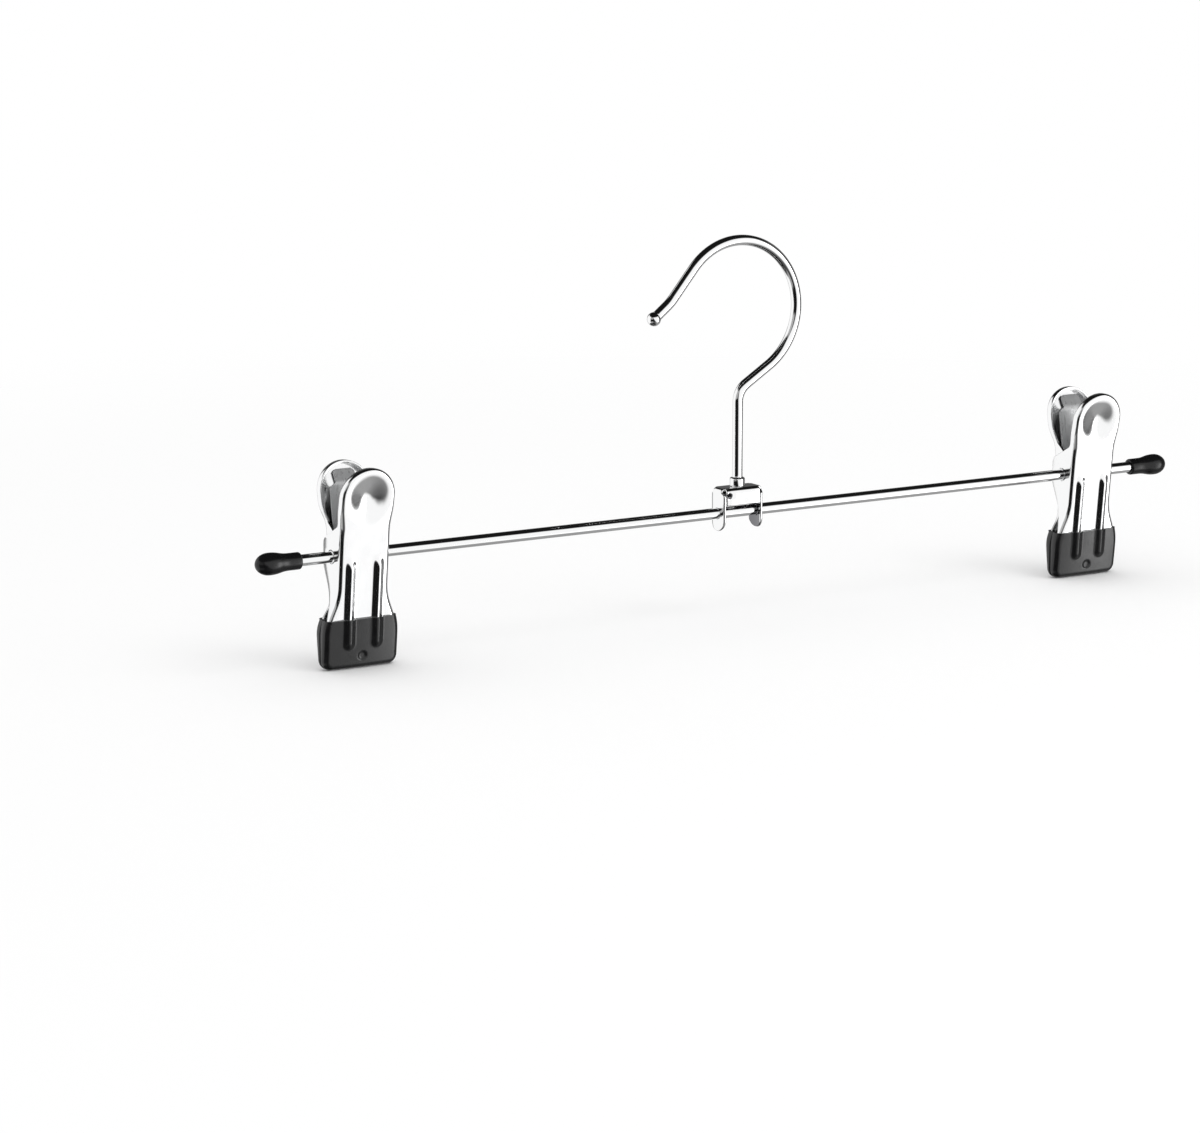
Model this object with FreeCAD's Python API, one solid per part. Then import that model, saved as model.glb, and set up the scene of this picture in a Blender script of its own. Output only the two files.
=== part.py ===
import FreeCAD, Part
import math
import os
from collections import namedtuple

Vector = FreeCAD.Vector

# Sizes are millimetres and degrees. Heights are measured from the bar's axis, and the finished pieces
# are lowered so that the origin lies where the hook rests on its rail.

# General
OVERRUN = 5.0
TOUCHING = 0.0001
HALF_TURN = 180.0
FACING_SHARE = 0.9

# Bar
OVERALL_LENGTH = 310.0
BAR_DIAMETER = 3.2
BAR_CHAMFER = 0.4

# End caps
CAP_LENGTH = 13.4
CAP_MOUTH_DIAMETER = 4.8
CAP_BULB_DIAMETER = 6.2
CAP_NECK = 3.2
CAP_END_WALL = 1.5
CAP_MOUTH_ROUND = 0.5
CAP_FIT = 0.02
CAP_BULB_SHARE = 0.7
ROUND_END_SHARE = 0.5523

# Hook
WIRE_DIAMETER = 3.0
CROOK_RADIUS = 19.8
SHANK_HEIGHT = 35.0
SHANK_BEND = 6.0
REACH_ANGLE = 32.0
CROOK_END_ANGLE = 140.0
NOSE_RUN = 10.4
FLARE_RADIUS = 15.0
FLARE_ANGLE = 12.0
NOSE_END_RUN = 5.4
BALL_DIAMETER = 4.0
COLLAR_DIAMETER = 4.4
COLLAR_HEIGHT = 2.4
COLLAR_ROUND = 0.5
RIVET_DIAMETER = 4.4
RIVET_HEIGHT = 1.2
RIVET_ROUND = 0.6
SWIVEL_FIT = 0.06
SWIVEL_PLAY = 0.15

# Hook bracket
BRACKET_WIDTH = 14.0
BRACKET_DEPTH = 7.0
BRACKET_TOP = 7.4
BRACKET_SHEET = 0.8
BRACKET_BEND = 1.3
BRACKET_WALL_HEIGHT = 5.0
BRACKET_RELIEF = 0.7
LOBE_DROP = 5.1
LOBE_DEPTH = 6.8
LOBE_SHOULDER_ROUND = 1.0
PIERCING_DIAMETER = 1.6
PIERCING_SIDE = 4.7
PIERCING_DROP = 2.1
BRACKET_FIT = 0.02

# Clip, shared by both jaws; it stands off the cap's mouth by the gap to its ear
CLIP_STAND_OFF = 9.7
CLIP_TOP = 25.0
CLIP_BOTTOM = 31.3
JAW_SHEET = 0.8
JAW_BEND = 1.4
LEG_LEAN = 6.0
HANDLE_LEAN = 10.5
HANDLE_BEND_HEIGHT = 3.0
HANDLE_BEND_RADIUS = 20.0
PAD_WIDTH = 16.4
PAD_NECK_HEIGHT = 13.0
RIM_DEPTH = 2.4
WAIST_WIDTH = 15.6
WAIST_HEIGHT = 8.5
FLARE_END_DROP = 19.0
PAD_BLEND = 9.0
HINGE_FIT = 0.08
EAR_GAP = 0.3

# Waist and ears: the front jaw's are outside and reach past the bar, the rear jaw's turn inside them
EAR_SHOULDER_HEIGHT = 9.0
EAR_FOOT_BLEND = 9.0
OUTER_EAR_REACH = 4.7
OUTER_EAR_TOP = 4.4
OUTER_EAR_DROP = 3.0
OUTER_EAR_ROUND = 2.4
OUTER_EAR_FOOT = 18.6
OUTER_FLARE_START = 11.0
OUTER_FLARE_BLEND = 16.0
INNER_EAR_REACH = 3.4
INNER_EAR_TOP = 3.3
INNER_EAR_DROP = 3.3
INNER_EAR_ROUND = 3.2
INNER_EAR_FOOT = 14.0
INNER_FLARE_START = 13.0
INNER_FLARE_BLEND = 9.0

# Thumb dimple and stiffening ribs
DIMPLE_HEIGHT = 16.4
DIMPLE_RADIUS = 5.8
DIMPLE_DEPTH = 1.2
DIMPLE_BLEND = 4.0
RIB_SPACING = 8.6
RIB_WIDTH = 2.5
RIB_RISE = 0.8
RIB_TOP_DROP = 1.4
RIB_END_DROP = 24.0

# Grip tips
TIP_WIDTH = 23.2
TIP_TOP_DROP = 17.3
TIP_WALL = 0.6
TIP_SKIN = 0.5
TIP_GRIP_WALL = 0.9
TIP_CORNER = 2.8
TIP_GRIP_ROUND = 0.5
GRIP_GAP = 0.3
TIP_MARK_DIAMETER = 3.0
TIP_MARK_DEPTH = 0.35
TIP_MARK_RISE = 3.6

# Leaf spring
SPRING_SHEET = 0.6
SPRING_WIDTH = 10.8
SPRING_BEND = 2.0
SPRING_SEAT = 0.3
SPRING_GAP = 0.45
SPRING_TONGUE_WIDTH = 6.6
SPRING_TONGUE_HEIGHT = 19.0
SPRING_TOP = 22.4
SPRING_KNEE = 4.0
SPRING_CORNER = 1.2

# Places worked out from the sizes above
BAR_RADIUS = BAR_DIAMETER / 2
WIRE_RADIUS = WIRE_DIAMETER / 2
CROOK_CENTRE = SHANK_HEIGHT + CROOK_RADIUS / math.cos(math.radians(REACH_ANGLE))
RAIL_HEIGHT = CROOK_CENTRE + CROOK_RADIUS - WIRE_RADIUS
PLATE_BOTTOM = BRACKET_TOP - BRACKET_SHEET
SHEET_BOTTOM = TIP_WALL - CLIP_BOTTOM
GRIP_PLANE = GRIP_GAP / 2
HINGE_RADIUS = BAR_RADIUS + HINGE_FIT
CLIP_PLACE = OVERALL_LENGTH / 2 - CAP_LENGTH - CLIP_STAND_OFF - WAIST_WIDTH / 2

# How the two jaws differ: the foot and the flare are drops below the bar's axis
JawForm = namedtuple("JawForm", "waist flare_start flare_blend reach top drop rounding foot")
OUTER_FORM = JawForm(
    waist=WAIST_WIDTH,
    flare_start=OUTER_FLARE_START,
    flare_blend=OUTER_FLARE_BLEND,
    reach=OUTER_EAR_REACH,
    top=OUTER_EAR_TOP,
    drop=OUTER_EAR_DROP,
    rounding=OUTER_EAR_ROUND,
    foot=OUTER_EAR_FOOT,
)
INNER_FORM = JawForm(
    waist=WAIST_WIDTH - 2 * (JAW_SHEET + EAR_GAP),
    flare_start=INNER_FLARE_START,
    flare_blend=INNER_FLARE_BLEND,
    reach=INNER_EAR_REACH,
    top=INNER_EAR_TOP,
    drop=INNER_EAR_DROP,
    rounding=INNER_EAR_ROUND,
    foot=INNER_EAR_FOOT,
)


def side_view(across, up):
    return Vector(0, across, up)


def front_view(across, up):
    return Vector(across, 0, up)


def rounded_wire(corners, view):
    """Closed wire through corners given as ((a, b), radius)."""
    points = [view(*corner) for corner, radius in corners]
    edges = []
    starts = []
    ends = []
    middles = []
    for index, (corner, radius) in enumerate(corners):
        point = points[index]
        back = (points[index - 1] - point).normalize()
        ahead = (points[(index + 1) % len(points)] - point).normalize()
        half = back.getAngle(ahead) / 2
        setback = radius / math.tan(half)
        starts.append(point + back * setback)
        ends.append(point + ahead * setback)
        bisector = (back + ahead).normalize()
        middles.append(point + bisector * (radius / math.sin(half) - radius))
    for index, (corner, radius) in enumerate(corners):
        if ends[index - 1].distanceToPoint(starts[index]) > TOUCHING:
            edges.append(Part.LineSegment(ends[index - 1], starts[index]).toShape())
        if radius > TOUCHING:
            edges.append(Part.Arc(starts[index], middles[index], ends[index]).toShape())
    return Part.Wire(edges)


def prism(corners, view, length):
    """Rounded outline made solid, centred on its own plane."""
    normal = view(1, 0).cross(view(0, 1))
    face = Part.Face(rounded_wire(corners, view))
    solid = face.extrude(normal * length)
    solid.translate(normal * (-length / 2))
    return solid


def offset_points(points, distance):
    """Open run of points moved sideways, to the left of its direction, with mitred corners."""
    headings = []
    for start, end in zip(points, points[1:]):
        headings.append(math.atan2(end[1] - start[1], end[0] - start[0]))
    moved = []
    for index, (a, b) in enumerate(points):
        before = headings[max(index - 1, 0)]
        after = headings[min(index, len(headings) - 1)]
        mean = (before + after) / 2
        reach = distance / math.cos((after - before) / 2)
        moved.append((a - reach * math.sin(mean), b + reach * math.cos(mean)))
    return moved


def sheet_strip(points, bends, thickness, view, width):
    """Bent sheet: its face follows the points, its thickness lies to their left.

    The bends are the radii at the inner points, on the face itself; a left turn tightens the far face.
    """
    far = offset_points(points, thickness)
    near_corners = [(points[0], 0)]
    far_corners = [(far[0], 0)]
    for index, bend in enumerate(bends, start=1):
        before = Vector(points[index][0] - points[index - 1][0], points[index][1] - points[index - 1][1], 0)
        after = Vector(points[index + 1][0] - points[index][0], points[index + 1][1] - points[index][1], 0)
        turns_left = before.cross(after).z > 0
        near_corners.append((points[index], bend))
        far_corners.append((far[index], bend - thickness if turns_left else bend + thickness))
    near_corners.append((points[-1], 0))
    far_corners.append((far[-1], 0))
    return prism(near_corners + far_corners[::-1], view, width)


def on_line(start, end, height):
    """Point of a side-view line at a height."""
    share = (height - start[1]) / (end[1] - start[1])
    return (start[0] + (end[0] - start[0]) * share, height)


def rim_edges(solid, direction):
    """Edges round the faces that look in a direction, without those between two such faces."""
    edges = []
    for face in solid.Faces:
        low_u, high_u, low_v, high_v = face.ParameterRange
        normal = face.normalAt((low_u + high_u) / 2, (low_v + high_v) / 2)
        if normal.dot(direction) > FACING_SHARE:
            edges += face.Edges
    return [edge for edge in edges if sum(edge.isSame(other) for other in edges) == 1]


def below(height, edges):
    """Those edges that go lower than a height."""
    return [edge for edge in edges if edge.BoundBox.ZMin < height - TOUCHING]


def bar():
    length = OVERALL_LENGTH - 2 * (CAP_END_WALL + CAP_FIT)
    rod = Part.makeCylinder(BAR_RADIUS, length, Vector(-length / 2, 0, 0), Vector(1, 0, 0))
    rims = [edge for edge in rod.Edges if edge.Closed]
    return rod.makeChamfer(BAR_CHAMFER, rims)


def end_cap():
    """Right-hand cap: a short neck that swells to a rounded bulb."""
    bore = BAR_RADIUS + CAP_FIT
    mouth = CAP_MOUTH_DIAMETER / 2
    bulb = CAP_BULB_DIAMETER / 2
    bulb_place = CAP_LENGTH * CAP_BULB_SHARE
    swell = (CAP_NECK + bulb_place) / 2
    nose = (CAP_LENGTH - bulb_place) * ROUND_END_SHARE
    floor = CAP_LENGTH - CAP_END_WALL
    lip = CAP_MOUTH_ROUND
    lip_inset = lip - lip * math.sin(math.radians(HALF_TURN / 4))
    lip_end = front_view(lip, mouth)
    neck_end = front_view(CAP_NECK, mouth)
    widest = front_view(bulb_place, bulb)
    end = front_view(CAP_LENGTH, 0)
    swell_curve = Part.BezierCurve()
    swell_curve.setPoles([neck_end, front_view(swell, mouth), front_view(swell, bulb), widest])
    nose_curve = Part.BezierCurve()
    shoulder = front_view(bulb_place + nose, bulb)
    nose_curve.setPoles([widest, shoulder, front_view(CAP_LENGTH, bulb * ROUND_END_SHARE), end])
    corners = [end, front_view(floor, 0), front_view(floor, bore), front_view(0, bore)]
    corners.append(front_view(0, mouth - lip))
    edges = [Part.LineSegment(a, b).toShape() for a, b in zip(corners, corners[1:])]
    edges.append(Part.Arc(corners[-1], front_view(lip_inset, mouth - lip_inset), lip_end).toShape())
    edges.append(Part.LineSegment(lip_end, neck_end).toShape())
    edges.append(swell_curve.toShape())
    edges.append(nose_curve.toShape())
    cap = Part.Face(Part.Wire(edges)).revolve(Vector(0, 0, 0), Vector(1, 0, 0), 2 * HALF_TURN)
    cap.translate(Vector(OVERALL_LENGTH / 2 - CAP_LENGTH, 0, 0))
    return cap


def polar(centre, radius, angle):
    turn = math.radians(angle)
    return centre + Vector(radius * math.cos(turn), 0, radius * math.sin(turn))


def arc_edge(centre, radius, start, end):
    ends = [polar(centre, radius, angle) for angle in (start, (start + end) / 2, end)]
    return Part.Arc(*ends).toShape()


def hook_path():
    """Shank, bend, crook, nose and its outward flare, as one smooth wire."""
    foot = front_view(0, PLATE_BOTTOM - SWIVEL_PLAY - RIVET_HEIGHT + RIVET_ROUND)
    setback = SHANK_BEND * math.tan(math.radians(HALF_TURN / 2 - REACH_ANGLE) / 2)
    bend_centre = front_view(SHANK_BEND, SHANK_HEIGHT - setback)
    bend_end_angle = HALF_TURN / 2 + REACH_ANGLE
    bend_end = polar(bend_centre, SHANK_BEND, bend_end_angle)
    crook_centre = front_view(0, CROOK_CENTRE)
    crook_start_angle = REACH_ANGLE - HALF_TURN / 2
    crook_end = polar(crook_centre, CROOK_RADIUS, CROOK_END_ANGLE)
    heading = CROOK_END_ANGLE + HALF_TURN / 2
    nose_end = polar(crook_end, NOSE_RUN, heading)
    flare_centre = polar(nose_end, FLARE_RADIUS, heading - HALF_TURN / 2)
    flare_start_angle = heading + HALF_TURN / 2
    flare_end = polar(flare_centre, FLARE_RADIUS, flare_start_angle - FLARE_ANGLE)
    tip = polar(flare_end, NOSE_END_RUN, heading - FLARE_ANGLE)
    edges = [
        Part.LineSegment(foot, front_view(0, SHANK_HEIGHT - setback)).toShape(),
        arc_edge(bend_centre, SHANK_BEND, HALF_TURN, bend_end_angle),
        Part.LineSegment(bend_end, polar(crook_centre, CROOK_RADIUS, crook_start_angle)).toShape(),
        arc_edge(crook_centre, CROOK_RADIUS, crook_start_angle, CROOK_END_ANGLE),
        Part.LineSegment(crook_end, nose_end).toShape(),
        arc_edge(flare_centre, FLARE_RADIUS, flare_start_angle, flare_start_angle - FLARE_ANGLE),
        Part.LineSegment(flare_end, tip).toShape(),
    ]
    return Part.Wire(edges), foot, tip


def round_disc(radius, height, base, rounding, ends):
    """Disc on the shank's axis, rounded at its chosen ends."""
    disc = Part.makeCylinder(radius, height, front_view(0, base))
    levels = {"low": base, "high": base + height}
    chosen = [levels[end] for end in ends]
    rims = []
    for edge in disc.Edges:
        if edge.Closed and any(abs(edge.CenterOfMass.z - level) < TOUCHING for level in chosen):
            rims.append(edge)
    return disc.makeFillet(rounding, rims)


def hook():
    path, foot, tip = hook_path()
    section = Part.Wire([Part.makeCircle(WIRE_RADIUS, foot)])
    wire = path.makePipeShell([section], True, True)
    ball = Part.makeSphere(BALL_DIAMETER / 2, tip)
    collar_base = BRACKET_TOP + SWIVEL_PLAY
    collar = round_disc(COLLAR_DIAMETER / 2, COLLAR_HEIGHT, collar_base, COLLAR_ROUND, ["high"])
    rivet_base = PLATE_BOTTOM - SWIVEL_PLAY - RIVET_HEIGHT
    rivet = round_disc(RIVET_DIAMETER / 2, RIVET_HEIGHT, rivet_base, RIVET_ROUND, ["low"])
    return wire.fuse([ball, collar, rivet]).removeSplitter()


def bracket_channel():
    """Top plate with its front and rear walls."""
    half = BRACKET_DEPTH / 2
    wall_foot = BRACKET_TOP - BRACKET_WALL_HEIGHT
    outline = [(half, wall_foot), (half, BRACKET_TOP), (-half, BRACKET_TOP), (-half, wall_foot)]
    length = BRACKET_WIDTH - 2 * BRACKET_BEND
    return sheet_strip(outline, [BRACKET_BEND, BRACKET_BEND], BRACKET_SHEET, side_view, length)


def bracket_ears():
    """Ears bent down from the plate's ends, necked at the bend, with a rounded lobe under the bar's hole."""
    half = BRACKET_WIDTH / 2
    outline = [(half, -LOBE_DROP), (half, BRACKET_TOP), (-half, BRACKET_TOP), (-half, -LOBE_DROP)]
    fold = sheet_strip(outline, [BRACKET_BEND, BRACKET_BEND], BRACKET_SHEET, front_view, BRACKET_DEPTH)
    neck = BRACKET_DEPTH / 2 - BRACKET_BEND
    lobe = LOBE_DEPTH / 2
    shoulder = PLATE_BOTTOM - BRACKET_RELIEF
    above = BRACKET_TOP + OVERRUN
    side = [((neck, above), 0), ((neck, shoulder), 0)]
    side += [((lobe, shoulder), LOBE_SHOULDER_ROUND), ((lobe, -LOBE_DROP), lobe)]
    side += [((-a, b), radius) for (a, b), radius in reversed(side)]
    return fold.common(prism(side, side_view, 2 * BRACKET_WIDTH))


def hook_bracket():
    along = Vector(1, 0, 0)
    span = BRACKET_WIDTH + 2 * OVERRUN
    bar_hole = Part.makeCylinder(BAR_RADIUS + BRACKET_FIT, span, Vector(-span / 2, 0, 0), along)
    shank_foot = front_view(0, PLATE_BOTTOM - BRACKET_SHEET)
    shank_hole = Part.makeCylinder(WIRE_RADIUS + SWIVEL_FIT, BRACKET_TOP, shank_foot)
    piercing_start = Vector(-PIERCING_SIDE, -BRACKET_DEPTH, BRACKET_TOP - PIERCING_DROP)
    piercing = Part.makeCylinder(PIERCING_DIAMETER / 2, BRACKET_DEPTH, piercing_start, Vector(0, 1, 0))
    sheet = bracket_channel().fuse(bracket_ears())
    return sheet.cut([bar_hole, shank_hole, piercing])


def jaw_profile():
    """Inner face of a jaw's sheet in side view: grip end, handle bend and handle top."""
    grip = GRIP_PLANE + TIP_GRIP_WALL
    bend = grip + (HANDLE_BEND_HEIGHT - SHEET_BOTTOM) * math.tan(math.radians(LEG_LEAN))
    top = bend + (CLIP_TOP - HANDLE_BEND_HEIGHT) * math.tan(math.radians(HANDLE_LEAN))
    return [(grip, SHEET_BOTTOM), (bend, HANDLE_BEND_HEIGHT), (top, CLIP_TOP)]


def stretched(points):
    """Profile carried on past both ends, for cutting."""
    foot = on_line(points[0], points[1], points[0][1] - OVERRUN)
    head = on_line(points[1], points[2], points[2][1] + OVERRUN)
    return [foot, points[1], head]


def jaw_outline(form, margin):
    """Front view of a jaw's sheet, grown all round by the margin."""
    pad = PAD_WIDTH / 2 + margin
    neck = form.waist / 2 + margin
    flare = TIP_WIDTH / 2 - TIP_WALL + margin
    foot = SHEET_BOTTOM - margin
    corner = TIP_CORNER - TIP_WALL + margin
    right = [
        ((pad, CLIP_TOP + margin), pad),
        ((pad, PAD_NECK_HEIGHT), PAD_BLEND),
        ((neck, WAIST_HEIGHT), PAD_BLEND),
        ((neck, -form.flare_start), form.flare_blend),
        ((flare, -FLARE_END_DROP), form.flare_blend),
        ((flare, foot), corner),
    ]
    left = [((-a, b), radius) for (a, b), radius in reversed(right)]
    return right + left


def jaw_side(form):
    """Side view of a jaw with its rim and its ear, from the outer face to the ear's rounded end."""
    inner = stretched(jaw_profile())
    outer = offset_points(inner, -JAW_SHEET)
    rim = offset_points(outer, RIM_DEPTH)
    shoulder = on_line(rim[1], rim[2], EAR_SHOULDER_HEIGHT)
    ear_foot = on_line(inner[0], inner[1], -form.foot)
    return [
        (outer[0], 0),
        (outer[1], HANDLE_BEND_RADIUS),
        (outer[2], 0),
        (rim[2], 0),
        (shoulder, RIM_DEPTH),
        ((-form.reach, form.top), form.rounding),
        ((-form.reach, -form.drop), form.rounding),
        (ear_foot, EAR_FOOT_BLEND),
        (inner[0], 0),
    ]


def behind_sheet():
    """Everything on the inner side of a jaw's sheet."""
    inner = stretched(jaw_profile())
    far = -CLIP_BOTTOM
    corners = [(inner[0], 0), (inner[1], HANDLE_BEND_RADIUS + JAW_SHEET), (inner[2], 0)]
    corners += [((far, inner[2][1]), 0), ((far, inner[0][1]), 0)]
    return prism(corners, side_view, 2 * CLIP_BOTTOM)


def leg_point(across, depth, height):
    """Point under the leg's outer face, at a depth in the sheet and a height."""
    outer = offset_points(jaw_profile(), -JAW_SHEET)
    level = offset_points(outer, depth)
    place = on_line(level[0], level[1], height)
    return Vector(across, place[0], place[1])


def capsule(start, end, radius):
    rod = Part.makeCylinder(radius, (end - start).Length, start, end - start)
    return rod.fuse([Part.makeSphere(radius, start), Part.makeSphere(radius, end)])


def rib_bodies(growth):
    """The two ribs' round bodies, sunk so that the ribs stand up by their rise."""
    radius = (RIB_WIDTH ** 2 / 4 + RIB_RISE ** 2) / (2 * RIB_RISE)
    sunk = radius - RIB_RISE
    bodies = []
    for across in (-RIB_SPACING / 2, RIB_SPACING / 2):
        high = leg_point(across, sunk, -RIB_TOP_DROP)
        low = leg_point(across, sunk, -RIB_END_DROP)
        bodies.append(capsule(high, low, radius + growth))
    return bodies


def dimple_ball(growth):
    """Ball that presses the thumb dimple into the handle's outer face."""
    radius = (DIMPLE_RADIUS ** 2 + DIMPLE_DEPTH ** 2) / (2 * DIMPLE_DEPTH)
    outer = offset_points(jaw_profile(), -JAW_SHEET)
    place = on_line(outer[1], outer[2], DIMPLE_HEIGHT)
    lean = math.radians(HANDLE_LEAN)
    stand_off = radius - DIMPLE_DEPTH
    centre = Vector(0, place[0] + stand_off * math.cos(lean), place[1] - stand_off * math.sin(lean))
    return Part.makeSphere(radius + growth, centre)


def dimple_edges(pan):
    """Round edge of the dimple on the outer face."""
    hollows = [face for face in pan.Faces if isinstance(face.Surface, Part.Sphere)]
    hollow = min(hollows, key=lambda face: face.Surface.Radius)
    return [edge for edge in hollow.Edges if edge.Length > DIMPLE_RADIUS and not edge.Degenerated]


def jaw_block(form, margin, skin):
    """Jaw's outline cut to its outer face, with the folded edge rounded, still thick.

    The margin widens the outline and the skin lifts the outer face, for what wraps the jaw.
    """
    outer = offset_points(stretched(jaw_profile()), -JAW_SHEET - skin)
    depth = 2 * CLIP_BOTTOM
    corners = [(outer[0], 0), (outer[1], HANDLE_BEND_RADIUS), (outer[2], 0)]
    corners += [((-depth, outer[2][1]), 0), ((-depth, outer[0][1]), 0)]
    block = prism(jaw_outline(form, margin), front_view, depth).common(prism(corners, side_view, depth))
    return block.makeFillet(JAW_BEND + skin, rim_edges(block, Vector(0, 1, 0)))


def jaw(form):
    """Stamped jaw, built with its outer face towards +Y."""
    depth = 2 * CLIP_BOTTOM
    behind = behind_sheet()
    body = jaw_block(form, 0, 0).common(prism(jaw_side(form), side_view, depth))
    cavity = prism(jaw_outline(form, -JAW_SHEET), front_view, 2 * depth).common(behind)
    pan = body.cut(cavity)
    pan = pan.fuse(dimple_ball(JAW_SHEET).common(cavity)).cut(dimple_ball(0))
    pan = pan.makeFillet(DIMPLE_BLEND, dimple_edges(pan))
    ribs = [rib.cut(behind) for rib in rib_bodies(0)]
    pan = pan.fuse(ribs).cut(rib_bodies(-JAW_SHEET))
    hole = Part.makeCylinder(HINGE_RADIUS, depth, Vector(-depth / 2, 0, 0), Vector(1, 0, 0))
    return pan.cut(hole)


def grip_tip(form, jaw_solid):
    """Moulded tip round the foot of a jaw, flat where it meets its mate, with the ribs showing through."""
    depth = 2 * CLIP_BOTTOM
    foot = Part.makeBox(depth, depth, depth, Vector(-depth / 2, GRIP_PLANE, -TIP_TOP_DROP - depth))
    block = jaw_block(form, TIP_WALL, TIP_SKIN).common(foot)
    block = block.makeFillet(TIP_GRIP_ROUND, below(-TIP_TOP_DROP, rim_edges(block, Vector(0, -1, 0))))
    behind = behind_sheet()
    swellings = [rib.common(foot).cut(behind) for rib in rib_bodies(TIP_SKIN)]
    skin = offset_points(jaw_profile(), -JAW_SHEET - TIP_SKIN)
    mark_height = TIP_MARK_RISE - CLIP_BOTTOM
    mark_place = on_line(skin[0], skin[1], mark_height)
    mark_radius = (TIP_MARK_DIAMETER ** 2 / 4 + TIP_MARK_DEPTH ** 2) / (2 * TIP_MARK_DEPTH)
    mark_centre = Vector(0, mark_place[0] + mark_radius - TIP_MARK_DEPTH, mark_height)
    mark = Part.makeSphere(mark_radius, mark_centre)
    return block.fuse(swellings).cut([jaw_solid, mark])


def spring_knee():
    """Where a leg of the spring turns out to its tongue, clear of the dimple."""
    inner = jaw_profile()
    plate = on_line(inner[1], inner[2], DIMPLE_HEIGHT)
    return (plate[0] - DIMPLE_DEPTH - SPRING_GAP, SPRING_TONGUE_HEIGHT)


def spring():
    """U-shaped leaf on the bar, its legs widening to the handles and ending in narrow tongues."""
    inner = jaw_profile()
    floor = BAR_RADIUS + SPRING_SEAT
    bend = SPRING_BEND + SPRING_SHEET
    knee = spring_knee()
    plate = on_line(inner[1], inner[2], SPRING_TOP)
    tongue = (plate[0] - SPRING_GAP, SPRING_TOP)
    corner = (bend, floor)
    right = [corner, knee, tongue]
    left = [(-a, b) for a, b in reversed(right)]
    bends = [SPRING_KNEE, bend, bend, SPRING_KNEE]
    strip = sheet_strip(left + right, bends, SPRING_SHEET, side_view, SPRING_WIDTH)
    half = SPRING_WIDTH / 2
    narrow = SPRING_TONGUE_WIDTH / 2
    above = SPRING_TOP + OVERRUN
    outline = [
        ((half, 0), 0),
        ((half, SPRING_TONGUE_HEIGHT), SPRING_CORNER),
        ((narrow, SPRING_TONGUE_HEIGHT), SPRING_CORNER),
        ((narrow, above), 0),
    ]
    outline += [((-a, b), radius) for (a, b), radius in reversed(outline)]
    return strip.common(prism(outline, front_view, 2 * CLIP_BOTTOM))


def export(shape, name, place=0.0):
    piece = shape.copy()
    piece.translate(Vector(place, 0, -RAIL_HEIGHT))
    piece.exportStep("parts/" + name + ".step")


def to_front(shape):
    return shape.mirror(Vector(0, 0, 0), Vector(0, 1, 0))


def build():
    os.makedirs("parts", exist_ok=True)
    right_cap = end_cap()
    export(bar(), "bar")
    export(right_cap, "right_end_cap")
    export(right_cap.mirror(Vector(0, 0, 0), Vector(1, 0, 0)), "left_end_cap")
    export(hook_bracket(), "hook_bracket")
    export(hook(), "hook")
    outer_jaw = jaw(OUTER_FORM)
    inner_jaw = jaw(INNER_FORM)
    clip = {
        "front_jaw": to_front(outer_jaw),
        "rear_jaw": inner_jaw,
        "front_tip": to_front(grip_tip(OUTER_FORM, outer_jaw)),
        "rear_tip": grip_tip(INNER_FORM, inner_jaw),
        "spring": spring(),
    }
    for side, place in (("left", -CLIP_PLACE), ("right", CLIP_PLACE)):
        for name, shape in clip.items():
            export(shape, side + "_" + name, place)


build()
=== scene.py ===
import math
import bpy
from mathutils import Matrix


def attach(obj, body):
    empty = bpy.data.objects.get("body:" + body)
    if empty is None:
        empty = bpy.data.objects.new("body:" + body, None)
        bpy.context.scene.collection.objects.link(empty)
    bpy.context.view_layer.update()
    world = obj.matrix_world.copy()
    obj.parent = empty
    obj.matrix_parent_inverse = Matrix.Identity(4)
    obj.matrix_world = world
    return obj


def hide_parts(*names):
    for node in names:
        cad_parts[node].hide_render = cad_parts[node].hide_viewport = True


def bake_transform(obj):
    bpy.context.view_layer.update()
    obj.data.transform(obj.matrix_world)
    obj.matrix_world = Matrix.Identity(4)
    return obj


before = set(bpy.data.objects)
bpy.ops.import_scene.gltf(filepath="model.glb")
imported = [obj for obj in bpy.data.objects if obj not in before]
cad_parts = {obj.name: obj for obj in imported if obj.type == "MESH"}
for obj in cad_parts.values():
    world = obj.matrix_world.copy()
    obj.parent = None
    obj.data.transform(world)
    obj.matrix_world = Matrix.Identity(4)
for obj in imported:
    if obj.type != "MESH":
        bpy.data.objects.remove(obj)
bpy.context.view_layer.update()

from types import SimpleNamespace

import bmesh
import bpy
import numpy as np
from mathutils import Vector

# Sizes are millimetres and degrees, measured from the middle of the bar's axis as in the solids
MM = 0.001
RIGHT = np.array((1.0, 0.0, 0.0))
BACK = np.array((0.0, 1.0, 0.0))
UP = np.array((0.0, 0.0, 1.0))
MIDDLE = np.zeros(3)

# Fineness of the meshes
ROUND_SIDES = 48
SHARP_ANGLE = 35.0
SAME_POINT_METRES = 1e-7
CUT_POINT_METRES = 1e-6

# A bevel's middle point lies at this share of the bevel, so that the bevel is rounded
KNEE_SHARE = 0.3

# Bar and end caps
HALF_LENGTH = 155.0
BAR_RADIUS = 1.6
BAR_END = 153.48
BAR_CHAMFER = 0.4
CAP_LENGTH = 13.4
CAP_MOUTH = 2.4
CAP_LIP = 0.5
CAP_NECK_END = 3.2
CAP_BULB = 3.1
CAP_WIDEST_SHARE = 0.7
CAP_BORE = 1.62
CAP_WALL = 1.5

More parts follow.
